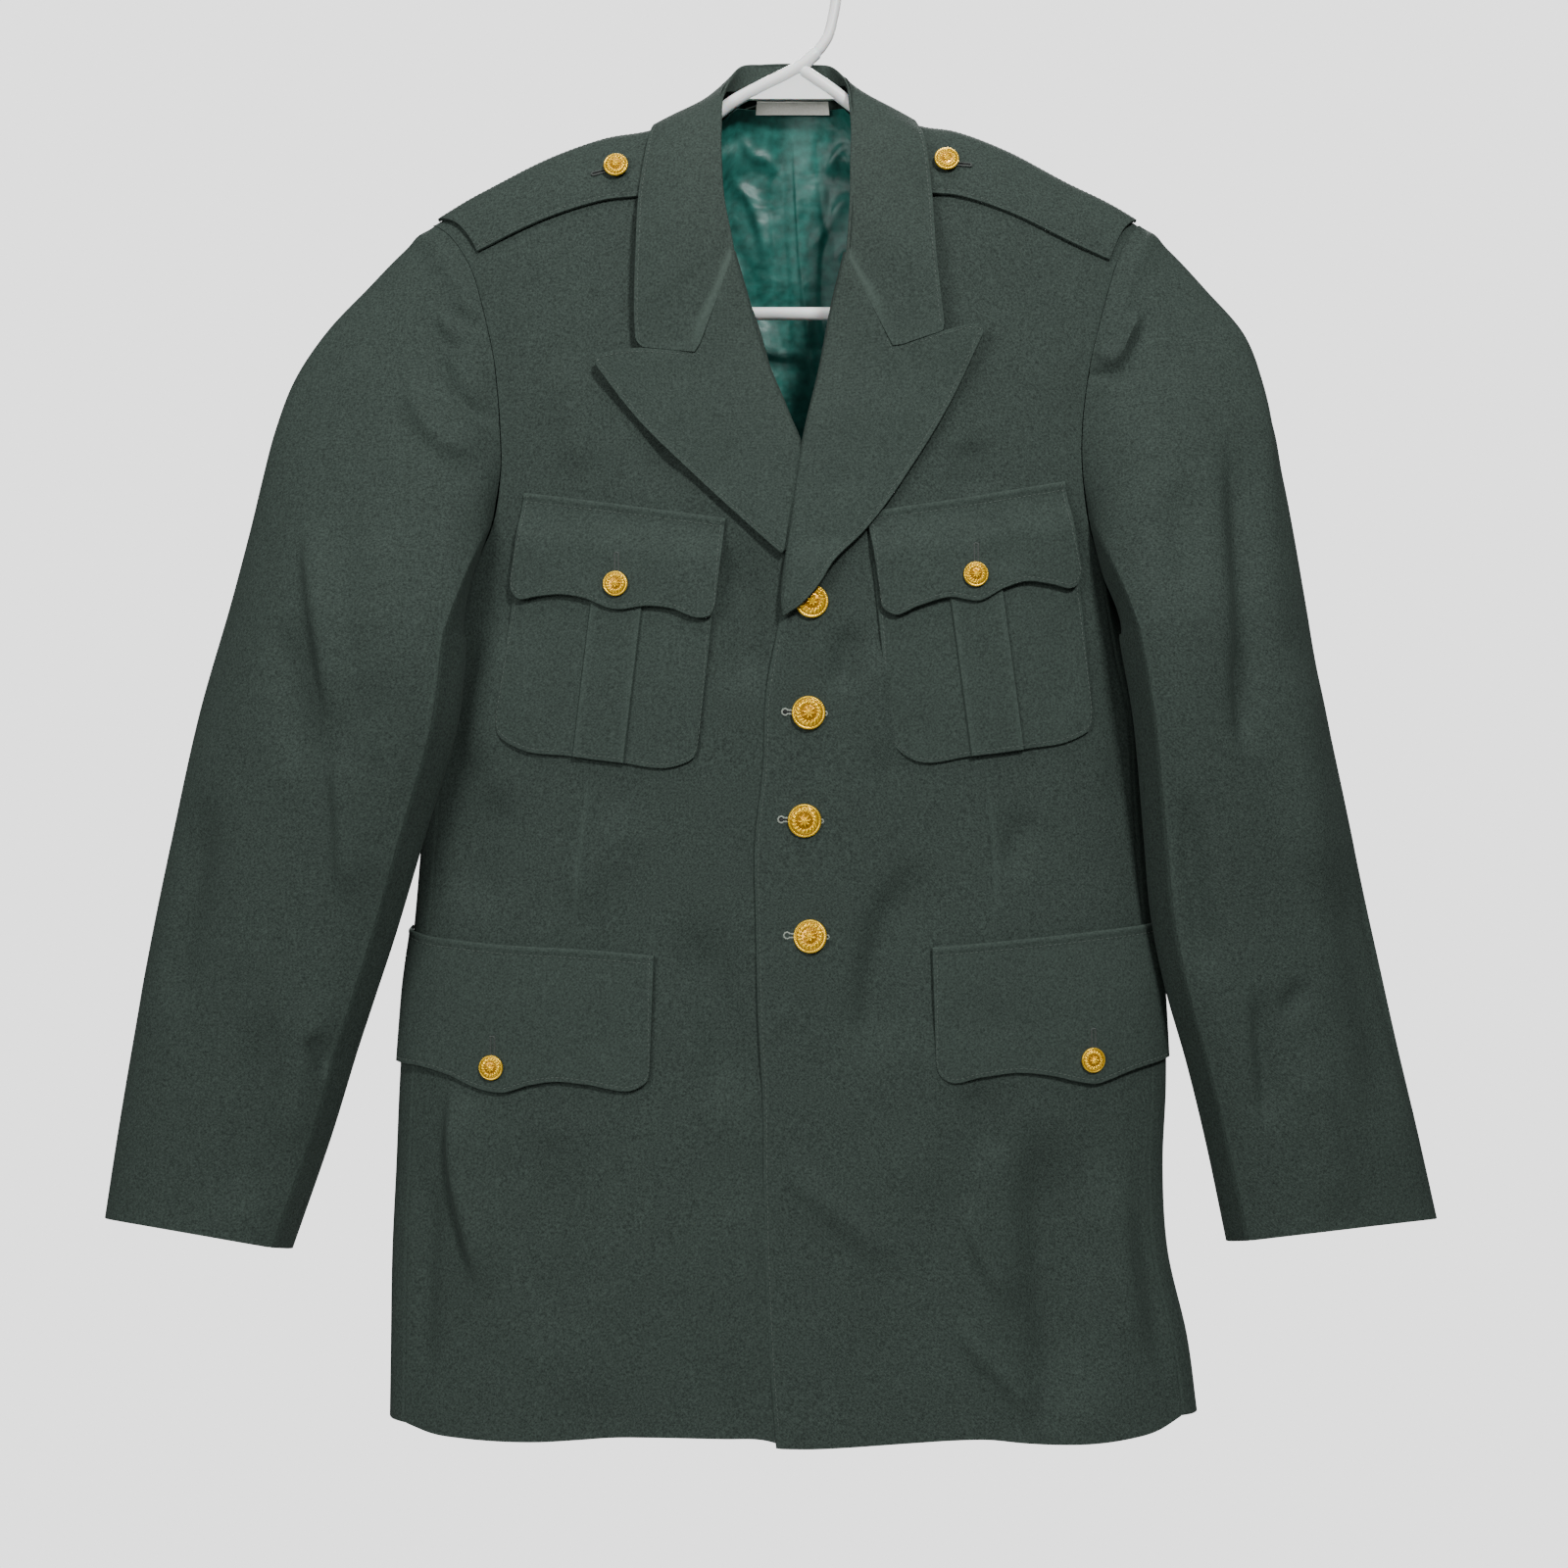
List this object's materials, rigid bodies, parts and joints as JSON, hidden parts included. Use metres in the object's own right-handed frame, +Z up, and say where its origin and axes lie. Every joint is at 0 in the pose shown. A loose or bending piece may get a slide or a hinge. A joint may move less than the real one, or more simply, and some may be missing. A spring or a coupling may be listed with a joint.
{
  "type": "military dress tunic on tubular clothes hanger",
  "caption": "Single-breasted wool dress tunic with peak lapels, shoulder straps, flapped pockets and gilt buttons, hung buttoned on a tubular hanger.",
  "frame": {"origin": "inner top of the hanger's hook, where the rail holds it", "axes": "+X to the wearer's left, +Y to the wearer's back, +Z up"},
  "size_m": [0.8536, 0.1421, 0.9805],
  "materials": {
    "wool_green": "dark green wool, fulled twill, matt with a faint heather",
    "satin_green": "green satin lining with a soft sheen",
    "gilt": "stamped gilt brass, bright, darker in the hollows",
    "label_cream": "plain woven cream strip",
    "plastic_white": "moulded white polypropylene, slightly translucent"
  },
  "bodies": {
    "root": {"front_left": "wool_green", "front_right": "wool_green", "side_left": "wool_green", "side_right": "wool_green", "back_left": "wool_green", "back_right": "wool_green", "collar_fall": "wool_green", "collar_stand": "wool_green", "lapel_left": "wool_green", "lapel_right": "wool_green", "top_sleeve_left": "wool_green", "top_sleeve_right": "wool_green", "under_sleeve_left": "wool_green", "under_sleeve_right": "wool_green", "shoulder_strap_left": "wool_green", "shoulder_strap_right": "wool_green", "breast_pocket_left": "wool_green", "breast_pocket_right": "wool_green", "breast_flap_left": "wool_green", "breast_flap_right": "wool_green", "lower_flap_left": "wool_green", "lower_flap_right": "wool_green", "front_button_1": "gilt", "front_button_2": "gilt", "front_button_3": "gilt", "front_button_4": "gilt", "breast_button_left": "gilt", "breast_button_right": "gilt", "lower_button_left": "gilt", "lower_button_right": "gilt", "strap_button_left": "gilt", "strap_button_right": "gilt", "lining_back": "satin_green", "label": "label_cream", "hanger_hook": "plastic_white", "hanger_arm_left": "plastic_white", "hanger_arm_right": "plastic_white", "hanger_bar": "plastic_white", "hanger_web": "plastic_white"}
  },
  "joints": []
}
